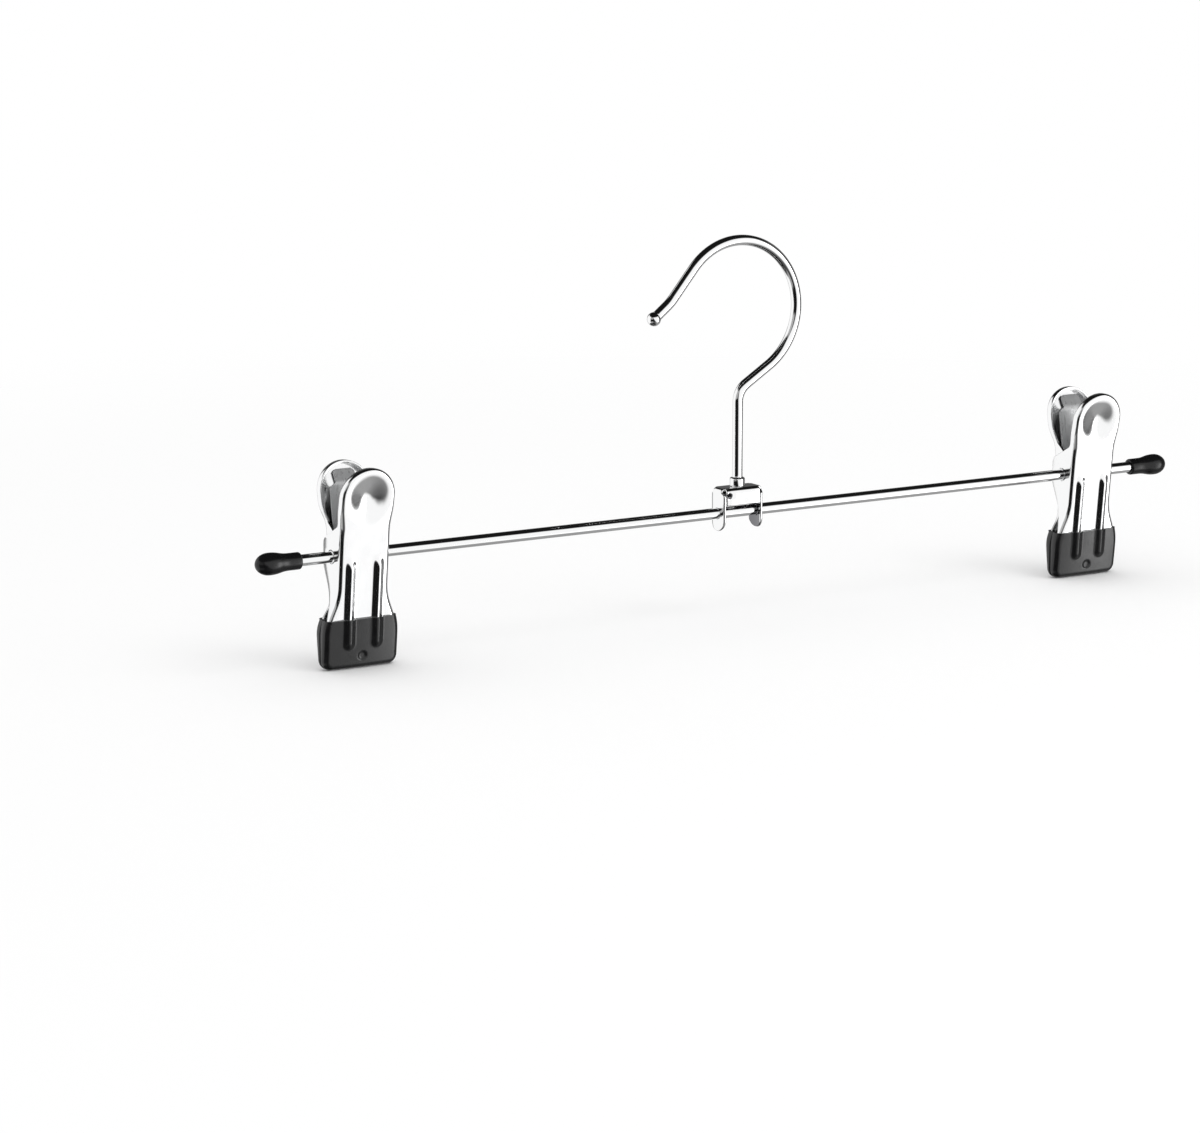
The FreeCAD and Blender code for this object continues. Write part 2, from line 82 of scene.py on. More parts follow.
# Hook
WIRE_RADIUS = 1.5
SHANK_HEIGHT = 35.0
SHANK_BEND = 6.0
REACH_ANGLE = 32.0
CROOK_RADIUS = 19.8
CROOK_END = 140.0
CROOK_CENTRE = SHANK_HEIGHT + CROOK_RADIUS / math.cos(math.radians(REACH_ANGLE))
RAIL_HEIGHT = CROOK_CENTRE + CROOK_RADIUS - WIRE_RADIUS
NOSE_RUN = 10.4
NOSE_BEND = 12.0
NOSE_BEND_RADIUS = 15.0
NOSE_END_RUN = 5.4
BALL_RADIUS = 2.0
HEAD_RADIUS = 2.2
RIVET_FOOT = 5.25
RIVET_TOP = 6.45
COLLAR_LOW = 7.55
COLLAR_HIGH = 9.95

# Rounded stretches of the hook as (rise, radius), past the rivet's foot, the collar's top and the ball's neck
RIVET_ROUND = ((0.0, 1.3), (0.1, 1.65), (0.25, 1.92), (0.45, 2.13), (0.7, HEAD_RADIUS))
COLLAR_ROUND = (
    (-0.5, HEAD_RADIUS), (-0.25, 2.13), (-0.1, 1.99), (0.0, 1.72), (0.1, 1.56), (0.3, WIRE_RADIUS),
)
NECK_ROUND = ((-0.45, WIRE_RADIUS), (-0.2, 1.53))

# Bracket, by the middle of its sheet
BRACKET_TOP = 7.0
BRACKET_HALF_SHEET = 0.4
BRACKET_BEND = 0.9
BRACKET_EDGE = 0.38
CHANNEL_WALL = 3.1
CHANNEL_FOOT = 2.4
CHANNEL_HALF_LENGTH = 5.7
EAR_PLACE = 6.6
EAR_HALF_WIDTH = 3.4
EAR_ROUND_CENTRE = -1.7
EAR_LOW = EAR_ROUND_CENTRE - EAR_HALF_WIDTH
SHOULDER = 4.9
SHOULDER_RADIUS = 1.0
EAR_CROWN = 0.036
TAB_START = 4.6
TAB_END = 5.75
TAB_HALF_WIDTH = 2.2
TAB_FILLET = 0.3
TAB_FILLET_TOP = 6.4
TAB_SLIM_SHARE = 0.97
HOOK_HOLE = 1.56
BAR_HOLE = 1.62
PIERCING_RADIUS = 0.8
PIERCING_PLACE = -4.7
PIERCING_HEIGHT = 5.3

# Clips
CLIP_PLACE = 124.1
CLIP_TOP = 25.0
CLIP_BOTTOM = 31.295
CLIP_BORE = 1.72
SHEET = 0.8
SHEET_BOTTOM = -30.7
SHEET_FOOT = 1.05
LEG_LEAN = 6.0
LEG_SLOPE = math.tan(math.radians(LEG_LEAN))

# The handle reaches as far out as one that bends low with the lean given, but it bends higher up
LOW_BEND = 3.0
LOW_BEND_LEAN = 10.2
HANDLE_BEND = 7.0
HANDLE_BLEND = 1.6
HANDLE_REACH = (math.tan(math.radians(LOW_BEND_LEAN)) - LEG_SLOPE) * (CLIP_TOP - LOW_BEND)
HANDLE_SLOPE = LEG_SLOPE + HANDLE_REACH / (CLIP_TOP - HANDLE_BEND)

# Outline of a jaw in front view
JAW_BOTTOM = -24.5
JAW_FLARE = 11.0
FLARE_HEIGHT = -19.0
NECK_TOP = 8.5
NECK_BLEND = 9.0
PAD_START = 13.0
PAD_RADIUS = 8.2
PAD_CENTRE = CLIP_TOP - PAD_RADIUS

# Rolled edge, rim and ears of a jaw
EDGE_BEND = 1.4
PAD_EDGE_BEND = 0.9
EDGE_TIGHT_START = 8.0
EDGE_TIGHT_END = 16.0
PAD_EDGE = PAD_RADIUS - PAD_EDGE_BEND
RIM_DEPTH = 2.4
RIM_SLANT_SHARE = 1.017
RIM_BEVEL = 0.24
RIM_LEAST = 0.06
RIM_TOP = 30.0
RIM_END = 9.0
EAR_FOOT_BLEND = 9.0

# Ribs and thumb dimple of a jaw
RIB_RISE = 1.06
RIB_TOP_START = -3.2
RIB_TOP_END = 0.6
RIB_BOTTOM = -24.0
DIMPLE_HEIGHT = 16.9
DIMPLE_RADIUS = 7.0
DIMPLE_DROP = 8.4
DIMPLE_DEPTH = 1.6

# Grip tips
TIP_TOP = -17.3
TIP_FLARE = 11.6
TIP_CORNER = 2.8
TIP_SPARE = 0.6
TIP_SKIN = 0.5
TIP_BEND = 1.9
TIP_EDGE_LEAST = 0.35
TIP_EASE = 0.3
TIP_CROWN = 0.12
TIP_CROWN_FALL = 0.0036
TIP_BULGE = 0.18
TIP_RIB_SPARE = 0.3
TIP_RIB_RISE = 0.85
GRIP_FACE = 0.15
MARK_HEIGHT = -27.7
MARK_DEPTH = 0.35
MARK_FLAT = 0.7
MARK_EDGE = 1.6

# Leaf springs
SPRING_SHEET = 0.6
SPRING_FLOOR = 1.9
SPRING_BEND = 2.6
SPRING_KNEE_DEPTH = 5.43
SPRING_KNEE_HEIGHT = 19.0
SPRING_KNEE_BEND = 4.0
SPRING_END_DEPTH = 7.74
SPRING_END_HEIGHT = 22.4
SPRING_HALF_WIDTH = 5.4
TONGUE_HALF_WIDTH = 3.3
TONGUE_LOW = 17.6
TONGUE_HIGH = 19.6
TONGUE_NOSE_LOW = 21.4
TONGUE_NOSE_HIGH = 22.5
TONGUE_NOSE_DRAW = 0.9
SPRING_EASE = 0.12
SPRING_STILL_HEIGHT = 3.0

# Stage and camera
FLOOR_GAP = 0.05
FLOOR_HEIGHT = -CLIP_BOTTOM - FLOOR_GAP
FLOOR_RADIUS = 900.0
PAPER = (0.985, 0.985, 0.985, 1)
FADE_START_METRES = 0.30
FADE_END_METRES = 0.62
CAMERA_AZIMUTH = -31.52
CAMERA_ELEVATION = 11.12
CAMERA_DISTANCE_METRES = 1.2831
CAMERA_AIM = (-46.12, 0, -11.44 - RAIL_HEIGHT)
CAMERA_FOCAL_PIXELS = 4547.7
PHOTO_WIDTH_PIXELS = 1200
SENSOR_WIDTH = 36.0

# What differs between the front jaw and the rear one, whose ears fit inside the front jaw's
OUTER_FORM = SimpleNamespace(
    waist=15.6, rib_place=4.3, rib_width=1.85, flare_start=11.0, flare_blend=16.0,
    ear_reach=4.7, ear_top=4.4, ear_drop=3.0, ear_rounding=2.4, ear_foot=18.6,
)
INNER_FORM = SimpleNamespace(
    waist=13.4, rib_place=3.75, rib_width=1.5, flare_start=13.0, flare_blend=9.0,
    ear_reach=3.4, ear_top=3.3, ear_drop=3.3, ear_rounding=3.2, ear_foot=14.0,
)


# Meshes


def smoothstep(low, high, value):
    share = np.clip((np.asarray(value, float) - low) / (high - low), 0, 1)
    return share * share * (3 - 2 * share)


def heading(angle):
    """Unit vector at an angle in radians, in a plane."""
    return np.array((math.cos(angle), math.sin(angle)))


def to_row(points):
    """Millimetres from the bar's middle to metres in the row frame."""
    return (np.asarray(points, float) - (0, 0, RAIL_HEIGHT)) * MM


def face_outward(work):
    """Turns every face of a closed mesh outward."""
    bmesh.ops.recalc_face_normals(work, faces=work.faces)
    if work.calc_volume(signed=True) < 0:
        bmesh.ops.reverse_faces(work, faces=work.faces)


def smooth_mesh(name, points, faces):
    mesh = bpy.data.meshes.new(name)
    mesh.from_pydata(to_row(points).tolist(), [], [tuple(int(i) for i in face) for face in faces])
    work = bmesh.new()
    work.from_mesh(mesh)
    bmesh.ops.remove_doubles(work, verts=work.verts, dist=SAME_POINT_METRES)
    face_outward(work)
    work.to_mesh(mesh)
    work.free()
    mesh.shade_smooth()
    return mesh


def new_object(name, data):
    made = bpy.data.objects.new(name, data)
    bpy.context.scene.collection.objects.link(made)
    return made


def new_piece(name, points, faces, material, sharp=SHARP_ANGLE):
    mesh = smooth_mesh(name, points, faces)
    mesh.set_sharp_from_angle(angle=math.radians(sharp))
    mesh.materials.append(material)
    return new_object(name, mesh)


def stand_for(piece, body, node):
    """Puts a piece on its body, in the place of a solid."""
    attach(piece, body)
    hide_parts(node)


def pierce(piece, points, faces):
    """Cuts a closed form out of a piece, and marks the new sharp edges."""
    tool = new_object("tool", smooth_mesh("tool", points, faces))
    change = piece.modifiers.new("change", "BOOLEAN")
    change.operation = "DIFFERENCE"
    change.solver = "MANIFOLD"
    change.object = tool
    graph = bpy.context.evaluated_depsgraph_get()
    mesh = bpy.data.meshes.new_from_object(piece.evaluated_get(graph))
    piece.modifiers.clear()
    piece.data = mesh
    bpy.data.objects.remove(tool)
    work = bmesh.new()
    work.from_mesh(mesh)
    bmesh.ops.remove_doubles(work, verts=work.verts, dist=CUT_POINT_METRES)
    bmesh.ops.dissolve_degenerate(work, edges=work.edges, dist=CUT_POINT_METRES)
    face_outward(work)
    work.to_mesh(mesh)
    work.free()
    mesh.set_sharp_from_angle(angle=math.radians(SHARP_ANGLE))


def ring_faces(rings, around):
    """Quads between closed rings of points."""
    faces = []
    for ring in range(rings - 1):
        for step in range(around):
            after = (step + 1) % around
            low = ring * around
            high = low + around
            faces.append((low + step, low + after, high + after, high + step))
    return faces


def swept(stations, around=ROUND_SIDES):
    """Round body through stations (centre, u axis, v axis, radius), closed by fans at its ends."""
    points = []
    for centre, u_axis, v_axis, radius in stations:
        for step in range(around):
            turn = 2 * math.pi * step / around
            points.append(centre + radius * (math.cos(turn) * u_axis + math.sin(turn) * v_axis))
    faces = ring_faces(len(stations), around)
    points.append(stations[0][0])
    points.append(stations[-1][0])
    last = (len(stations) - 1) * around
    for step in range(around):
        after = (step + 1) % around
        faces.append((len(points) - 2, after, step))
        faces.append((len(points) - 1, last + step, last + after))
    return np.array(points), faces


def corner_arc(before, here, after, radius, step):
    """Points of the arc that rounds one corner of a run."""
    back = before - here
    ahead = after - here
    back /= np.linalg.norm(back)
    ahead /= np.linalg.norm(ahead)
    half = math.acos(np.clip(back @ ahead, -1, 1)) / 2
    bisector = back + ahead
    bisector /= np.linalg.norm(bisector)
    centre = here + bisector * radius / math.sin(half)
    start = here + back * radius / math.tan(half) - centre
    end = here + ahead * radius / math.tan(half) - centre
    first = math.atan2(start[1], start[0])
    sweep = math.atan2(end[1], end[0]) - first
    sweep = (sweep + math.pi) % (2 * math.pi) - math.pi
    least_steps = 3
    count = max(least_steps, math.ceil(abs(sweep) * radius / step))
    return [centre + radius * heading(first + sweep * share) for share in np.linspace(0, 1, count + 1)]


def rounded_run(corners, step):
    """Points along an open run of (a, b, radius) corners, and their normals to the right."""
    spots = [np.array(corner[:2], float) for corner in corners]
    knots = [spots[0]]
    for index in range(1, len(corners) - 1):
        radius = corners[index][2]
        knots += corner_arc(spots[index - 1], spots[index], spots[index + 1], radius, step)
    knots.append(spots[-1])
    nothing = 1e-6
    points = [knots[0]]
    for start, end in zip(knots, knots[1:]):
        length = np.linalg.norm(end - start)
        if length < nothing:
            continue
        count = max(1, math.ceil(length / step))
        for share in range(1, count + 1):
            points.append(start + (end - start) * share / count)
    points = np.array(points)
    tangents = np.gradient(points, axis=0)
    tangents /= np.linalg.norm(tangents, axis=1)[:, None]
    return points, np.stack((tangents[:, 1], -tangents[:, 0]), axis=1)


class Skin:
    """Points and faces of a piece while it is put together."""

    def __init__(self):
        self.points = []
        self.faces = []

    def add(self, points):
        first = len(self.points)
        self.points += [tuple(point) for point in points]
        return list(range(first, len(self.points)))

    def band(self, one, two):
        for index in range(len(one) - 1):
            self.faces.append((one[index], one[index + 1], two[index + 1], two[index]))

    def grid(self, rows):
        for one, two in zip(rows, rows[1:]):
            self.band(one, two)

    def done(self):
        return np.array(self.points), self.faces


def open_edge(rows):
    """A grid's first column, last row and last column, as one run that leaves the first row open."""
    return [row[0] for row in rows] + rows[-1][1:-1] + [row[-1] for row in reversed(rows)]


# Node trees and materials


class Tree:
    """A node tree with short calls."""

    def __init__(self, tree):
        self.nodes = tree.nodes
        self.links = tree.links

    def add(self, kind, **values):
        node = self.nodes.new(kind)
        for name, value in values.items():
            setattr(node, name, value)
        return node

    def feed(self, socket, value):
        """Gives a socket a fixed value, or the output of another node."""
        if isinstance(value, bpy.types.NodeSocket):
            self.links.new(value, socket)
        else:
            socket.default_value = value

    def put(self, node, **inputs):
        for name, value in inputs.items():
            self.feed(node.inputs[name.replace("_", " ")], value)

    def place(self, kind):
        return self.add("ShaderNodeTexCoord").outputs[kind]

    def split(self, place):
        node = self.add("ShaderNodeSeparateXYZ")
        self.feed(node.inputs[0], place)
        return node.outputs

    def calculate(self, kind, *values):
        node = self.add("ShaderNodeMath", operation=kind)
        for socket, value in zip(node.inputs, values):
            self.feed(socket, value)
        return node.outputs[0]

    def times(self, one, two):
        return self.calculate("MULTIPLY", one, two)

    def ramp(self, value, start, end, low=0.0, high=1.0, kind="LINEAR"):
        node = self.add("ShaderNodeMapRange", interpolation_type=kind)
        self.put(node, Value=value, From_Min=start, From_Max=end, To_Min=low, To_Max=high)
        return node.outputs["Result"]

    def step(self, value, start, end):
        return self.ramp(value, start, end, kind="SMOOTHSTEP")

    def mixed(self, factor, low, high, kind="RGBA"):
        """Colour or number between two others."""
        node = self.add("ShaderNodeMix", data_type=kind)
        self.put(node, Factor=factor, A=low, B=high)
        return node.outputs["Result"]


class Material(Tree):
    """A material with its shader."""

    def __init__(self, name, **values):
        self.material = bpy.data.materials.new(name)
        self.material.use_nodes = True
        super().__init__(self.material.node_tree)
        self.shader = self.nodes["Principled BSDF"]
        self.put(self.shader, **values)

    def noise(self, scale, detail, stretch=(1, 1, 1)):
        mapping = self.add("ShaderNodeMapping")
        self.put(mapping, Vector=self.place("Object"), Scale=stretch)
        noise = self.add("ShaderNodeTexNoise")
        self.put(noise, Vector=mapping.outputs["Vector"], Scale=scale, Detail=detail)
        return noise.outputs["Fac"]

    def spread(self, noise, low, high):
        """Spreads the middle of a noise over a range."""
        return self.ramp(noise, NOISE_LOW, NOISE_HIGH, low, high)

    def within(self, half_length, half_width, top):
        """1 within these limits of the bar's middle, in millimetres, and 0 elsewhere."""
        x, y, z = self.split(self.place("Object"))
        along = self.calculate("LESS_THAN", self.calculate("ABSOLUTE", x), half_length * MM)
        across = self.calculate("LESS_THAN", self.calculate("ABSOLUTE", y), half_width * MM)
        under = self.calculate("LESS_THAN", z, (top - RAIL_HEIGHT) * MM)
        return self.times(self.times(along, across), under)

    def bump(self, height, strength, depth):
        node = self.add("ShaderNodeBump")
        self.put(node, Height=height, Strength=strength, Distance=depth * MM)
        self.put(self.shader, Normal=node.outputs["Normal"])


def chrome(name, gloss, wave, stretch=(1, 1, 1), inside=None):
    """Bright plating with a faint haze, and painted shade (a dark grey colour) within the limits given for
    its inside.
    """
    made = Material(name, Metallic=1.0)
    haze = made.noise(scale=140, detail=4, stretch=stretch)
    colour = made.mixed(haze, low=(0.92, 0.925, 0.93, 1), high=(0.955, 0.955, 0.955, 1))
    if inside:
        # Painted shade: dark grey colour on the inner faces of the bracket's channel and ears, where shade
        # falls
        colour = made.mixed(made.within(**inside), low=colour, high=(0.20, 0.20, 0.21, 1))
    made.put(made.shader, Base_Color=colour, Roughness=made.spread(haze, *gloss))
    made.bump(made.noise(scale=wave, detail=2, stretch=stretch), strength=0.06, depth=0.4)
    return made.material


def spring_steel():
    """Bare rolled strip with its grain upright."""
    made = Material("spring_steel", Metallic=0.55)
    grain = made.noise(scale=900, detail=5, stretch=(1, 1, 0.04))
    colour = made.mixed(grain, low=(0.48, 0.485, 0.49, 1), high=(0.66, 0.665, 0.67, 1))
    made.put(made.shader, Base_Color=colour, Roughness=made.spread(grain, low=0.24, high=0.38))
    made.bump(grain, strength=0.10, depth=0.2)
    return made.material


def black_plastic(name, cloud, palest, gloss, grain, strength, **values):
    """Glossy black plastic with a faint cloud and a fine grain."""
    made = Material(name, **values)
    haze = made.noise(scale=cloud, detail=4)
    colour = made.mixed(haze, low=(0.004, 0.004, 0.0045, 1), high=palest)
    made.put(made.shader, Base_Color=colour, Roughness=made.spread(haze, *gloss))
    made.bump(made.noise(scale=grain, detail=3), strength=strength, depth=0.2)
    return made.material


NOISE_LOW = 0.3
NOISE_HIGH = 0.7
WIRE_GLOSS = (0.035, 0.085)
SHEET_GLOSS = (0.10, 0.16)
# Box round the inner faces of the bracket's channel and ears, which get painted shade
BRACKET_SHADED_INSIDE = {"half_length": 6.3, "half_width": 2.75, "top": 6.65}
WIRE_CHROME = chrome("chromed_wire", WIRE_GLOSS, wave=500, stretch=(0.25, 1, 0.25))
SHEET_CHROME = chrome("chromed_sheet", SHEET_GLOSS, wave=120)
BRACKET_CHROME = chrome("chromed_bracket_painted_shade", WIRE_GLOSS, wave=120, inside=BRACKET_SHADED_INSIDE)
SPRING_STEEL = spring_steel()
CAP_PLASTIC = black_plastic(
    "cap_plastic", cloud=260, palest=(0.008, 0.008, 0.0085, 1), gloss=(0.16, 0.26), grain=1800, strength=0.05,
    Specular_IOR_Level=0.38,
)
GRIP_VINYL = black_plastic(
    "grip_vinyl", cloud=320, palest=(0.009, 0.009, 0.0095, 1), gloss=(0.19, 0.27), grain=2600, strength=0.10,
)


# Bar, caps and hook


def along_x(profile):
    """Stations of a body of revolution about the bar's axis, from (place, radius)."""
    return [(place * RIGHT, BACK, UP, radius) for place, radius in profile]


def make_bar():
    """Straight wire with eased ends."""
    ease_place = 0.12
    ease_drop = 0.14
    straight = 150.0
    rings = 13
    sides = 64
    end = [(-BAR_END, BAR_RADIUS - BAR_CHAMFER)]
    end.append((-BAR_END + ease_place, BAR_RADIUS - ease_drop))
    end.append((-BAR_END + BAR_CHAMFER, BAR_RADIUS))
    middle = [(place, BAR_RADIUS) for place in np.linspace(-straight, straight, rings)]
    other_end = [(-place, radius) for place, radius in reversed(end)]
    points, faces = swept(along_x(end + middle + other_end), sides)
    stand_for(new_piece("bar_wire", points, faces, WIRE_CHROME), "frame", "bar")


def bezier(poles, count):
    """Points along a cubic curve."""
    a, b, c, d = [np.array(pole, float) for pole in poles]
    points = []
    for t in np.linspace(0, 1, count):
        s = 1 - t
        points.append(tuple(s ** 3 * a + 3 * t * s ** 2 * b + 3 * t * t * s * c + t ** 3 * d))
    return points


def make_cap(side, name):
    """Soft cap with a bore, a rounded lip, a straight neck and a bulb."""
    bore_ease_depth = 0.25
    bore_ease = 0.1
    nose_radius = 0.02
    quarter_round_share = 0.5523
    lip_steps = 7
    swell_steps = 22
    nose_steps = 24
    sides = 56
    sharp = 60.0
    widest = CAP_LENGTH * CAP_WIDEST_SHARE
    swell = (CAP_NECK_END + widest) / 2
    nose = (CAP_LENGTH - widest) * quarter_round_share
    bore_end = CAP_LENGTH - CAP_WALL
    profile = [(bore_end, CAP_BORE / 2), (bore_end, CAP_BORE)]
    profile += [(bore_ease_depth, CAP_BORE), (0.0, CAP_BORE + bore_ease)]
    for turn in np.linspace(0, math.pi / 2, lip_steps):
        profile.append((CAP_LIP * (1 - math.cos(turn)), CAP_MOUTH - CAP_LIP + CAP_LIP * math.sin(turn)))
    neck_poles = [(CAP_NECK_END, CAP_MOUTH), (swell, CAP_MOUTH), (swell, CAP_BULB), (widest, CAP_BULB)]
    profile += bezier(neck_poles, swell_steps)
    nose_poles = [(widest, CAP_BULB), (widest + nose, CAP_BULB)]
    nose_poles += [(CAP_LENGTH, CAP_BULB * quarter_round_share), (CAP_LENGTH, nose_radius)]
    profile += bezier(nose_poles, nose_steps)[1:]
    start = HALF_LENGTH - CAP_LENGTH
    stations = along_x([(side * (start + place), radius) for place, radius in profile])
    points, faces = swept(stations, sides)
    stand_for(new_piece(name + "_shell", points, faces, CAP_PLASTIC, sharp), "frame", name)


def hook_line():
    """Centreline of the hook in front view, from the rivet to the end of the ball."""
    crook_steps = 110
    shank_step = 0.5
    nose_step = 0.25
    start_turn = math.radians(REACH_ANGLE) - math.pi / 2
    end_turn = math.radians(CROOK_END)
    centre = np.array((0.0, CROOK_CENTRE))
    crook = [centre + CROOK_RADIUS * heading(turn) for turn in np.linspace(start_turn, end_turn, crook_steps)]
    shank, _ = rounded_run([(0, RIVET_FOOT, 0), (0, SHANK_HEIGHT, SHANK_BEND), (*crook[0], 0)], shank_step)
    out = end_turn + math.pi / 2
    bend = math.radians(NOSE_BEND)
    bend_run = NOSE_BEND_RADIUS * math.tan(bend / 2)
    corner = crook[-1] + (NOSE_RUN + bend_run) * heading(out)
    end = corner + (bend_run + NOSE_END_RUN + BALL_RADIUS) * heading(out - bend)
    nose, _ = rounded_run([(*crook[-1], 0), (*corner, NOSE_BEND_RADIUS), (*end, 0)], nose_step)
    return np.concatenate((shank, np.array(crook[1:]), nose[1:]))


def hook_profile(runs):
    """Radii along the hook: rivet head, wire, collar, wire and ball."""
    rivet_edge = 0.08
    collar_edge = 0.1
    collar_spare = 0.4
    neck_spare = 0.6
    ball_start = math.radians(48)
    ball_end = math.radians(179)
    ball_rings = 22
    rivet_top = RIVET_TOP - RIVET_FOOT
    collar_low = COLLAR_LOW - RIVET_FOOT
    collar_high = COLLAR_HIGH - RIVET_FOOT
    ball_place = runs[-1] - BALL_RADIUS
    neck = ball_place - math.sqrt(BALL_RADIUS ** 2 - WIRE_RADIUS ** 2)
    profile = list(RIVET_ROUND)
    profile += [(rivet_top - rivet_edge, HEAD_RADIUS), (rivet_top, HEAD_RADIUS - rivet_edge)]
    profile += [(rivet_top, WIRE_RADIUS), (collar_low, WIRE_RADIUS)]
    profile += [(collar_low, HEAD_RADIUS - collar_edge), (collar_low + collar_edge, HEAD_RADIUS)]
    profile += [(collar_high + rise, radius) for rise, radius in COLLAR_ROUND]
    profile += [(run, WIRE_RADIUS) for run in runs if collar_high + collar_spare < run < neck - neck_spare]
    profile += [(neck + rise, radius) for rise, radius in NECK_ROUND]
    for turn in np.linspace(ball_start, ball_end, ball_rings):
        profile.append((ball_place - BALL_RADIUS * math.cos(turn), BALL_RADIUS * math.sin(turn)))
    return profile


def make_hook():
    """Wire hook with its rivet head, collar and ball."""
    sharp = 40.0
    line = hook_line()
    tangents = np.gradient(line, axis=0)
    tangents /= np.linalg.norm(tangents, axis=1)[:, None]
    runs = np.concatenate(([0], np.cumsum(np.linalg.norm(np.diff(line, axis=0), axis=1))))
    stations = []
    for run, radius in hook_profile(runs):
        centre = np.array((np.interp(run, runs, line[:, 0]), 0.0, np.interp(run, runs, line[:, 1])))
        along = np.array((np.interp(run, runs, tangents[:, 0]), np.interp(run, runs, tangents[:, 1])))
        along /= np.linalg.norm(along)
        stations.append((centre, np.array((along[1], 0.0, -along[0])), BACK, radius))
    points, faces = swept(stations)
    stand_for(new_piece("hook_wire", points, faces, WIRE_CHROME, sharp), "hook", "hook")


# Bracket


def strip_ring(half, thick, ease):
    """Closed section of a strip with eased edges, as (across, out) pairs."""
    columns = 9
    edge_steps = 9
    ring = []
    for share in np.linspace(-1, 1, columns):
        ring.append((share * (half - ease), thick))
    for turn in np.linspace(math.pi / 2, -math.pi / 2, edge_steps)[1:-1]:
        ring.append((half - ease + ease * math.cos(turn), thick * math.sin(turn)))
    for share in np.linspace(1, -1, columns):
        ring.append((share * (half - ease), -thick))
    for turn in np.linspace(-math.pi / 2, -3 * math.pi / 2, edge_steps)[1:-1]:
        ring.append((-half + ease + ease * math.cos(turn), thick * math.sin(turn)))
    return ring


def strip_mesh(rows, place):
    """Closed strip through rows (middle point, outward normal, half width, half thickness)."""
    widest_ease_share = 0.9
    points = []
    for middle, normal, half, thick in rows:
        for across, out in strip_ring(half, thick, min(BRACKET_EDGE, half * widest_ease_share)):
            points.append(place(middle[0] + out * normal[0], across, middle[1] + out * normal[1]))
    around = len(points) // len(rows)
    faces = ring_faces(len(rows), around)
    faces.append(tuple(range(around))[::-1])
    faces.append(tuple(range(len(points) - around, len(points))))
    return np.array(points), faces


def ear_half_width(height):
    """Half the width of an ear: a filleted tab, round shoulders, straight sides and a round end."""
    shoulder_top = SHOULDER + SHOULDER_RADIUS
    least_square = 0.01
    if height > shoulder_top:
        return TAB_HALF_WIDTH + TAB_FILLET * (1 - float(smoothstep(shoulder_top, TAB_FILLET_TOP, height)))
    if height > SHOULDER:
        rise = height - SHOULDER
        straight = EAR_HALF_WIDTH - SHOULDER_RADIUS
        return straight + math.sqrt(max(SHOULDER_RADIUS ** 2 - rise ** 2, 0))
    if height > EAR_ROUND_CENTRE:
        return EAR_HALF_WIDTH
    return math.sqrt(max(EAR_HALF_WIDTH ** 2 - (height - EAR_ROUND_CENTRE) ** 2, least_square))


def end_thickness(from_end):
    """Half the sheet's thickness, rounded off towards a cut end."""
    least_square = 0.02
    share = min(from_end / BRACKET_EDGE, 1)
    return BRACKET_HALF_SHEET * math.sqrt(max(1 - (1 - share) ** 2, least_square))


def channel_mesh():
    """Channel over the bar."""
    step = 0.15
    corners = [(-CHANNEL_WALL, CHANNEL_FOOT, 0), (-CHANNEL_WALL, BRACKET_TOP, BRACKET_BEND)]
    corners += [(CHANNEL_WALL, BRACKET_TOP, BRACKET_BEND), (CHANNEL_WALL, CHANNEL_FOOT, 0)]
    rows = []
    for point, normal in zip(*rounded_run(corners, step)):
        rows.append((point, -normal, CHANNEL_HALF_LENGTH, end_thickness(point[1] - CHANNEL_FOOT)))

    def place(depth, along, height):
        return along, depth, height

    return strip_mesh(rows, place)


def ear_mesh(side):
    """Crowned ear at one end of the channel, with the tab that joins them."""
    step = 0.12
    on_ear = 0.01
    crown_top = 7.0
    crown_full = 5.0
    corners = [(TAB_START, BRACKET_TOP, 0), (EAR_PLACE, BRACKET_TOP, BRACKET_BEND), (EAR_PLACE, EAR_LOW, 0)]
    rows = []
    for point, normal in zip(*rounded_run(corners, step)):
        half = TAB_HALF_WIDTH if point[0] < EAR_PLACE - on_ear else ear_half_width(point[1])
        slim = TAB_SLIM_SHARE if point[0] < TAB_END else 1.0
        rows.append((point, -normal, half, slim * end_thickness(point[1] - EAR_LOW)))

    def place(out, across, height):
        crown = EAR_CROWN * across * across * float(smoothstep(crown_top, crown_full, height))
        return side * (out - crown), across, height

    return strip_mesh(rows, place)


def punch(axis, across, where, through, radius, ease):
    """Round tool through a wall about a middle place, with widened ends that ease the hole's edges."""
    knee = KNEE_SHARE * ease
    overrun = 1.0
    low = through - BRACKET_HALF_SHEET
    high = through + BRACKET_HALF_SHEET
    profile = [(low - overrun, radius + ease + overrun), (low, radius + ease)]
    profile += [(low + knee, radius + knee), (low + ease, radius)]
    profile += [(high - ease, radius), (high - knee, radius + knee)]
    profile += [(high, radius + ease), (high + overrun, radius + ease + overrun)]
    other = np.cross(axis, across)
    return swept([(where + place * axis, across, other, size) for place, size in profile])


def make_bracket():
    """Channel and two ears, each a strip of its own, with their holes."""
    piercing = np.array((PIERCING_PLACE, 0.0, PIERCING_HEIGHT))
    hook_hole = punch(UP, RIGHT, MIDDLE, BRACKET_TOP, HOOK_HOLE, ease=0.12)
    piercing_hole = punch(BACK, UP, piercing, -CHANNEL_WALL, PIERCING_RADIUS, ease=0.3)
    strips = [("channel", channel_mesh(), [hook_hole, piercing_hole])]
    for name, side in (("left_ear", -1), ("right_ear", 1)):
        bar_hole = punch(RIGHT, BACK, MIDDLE, side * EAR_PLACE, BAR_HOLE, ease=0.2)
        strips.append((name, ear_mesh(side), [bar_hole]))
    for name, (points, faces), holes in strips:
        piece = new_piece("hook_bracket_" + name, points, faces, BRACKET_CHROME)
        for hole in holes:
            pierce(piece, *hole)
        even = piece.modifiers.new("even", "WEIGHTED_NORMAL")
        even.keep_sharp = True
        stand_for(piece, "frame", "hook_bracket")


# Clips


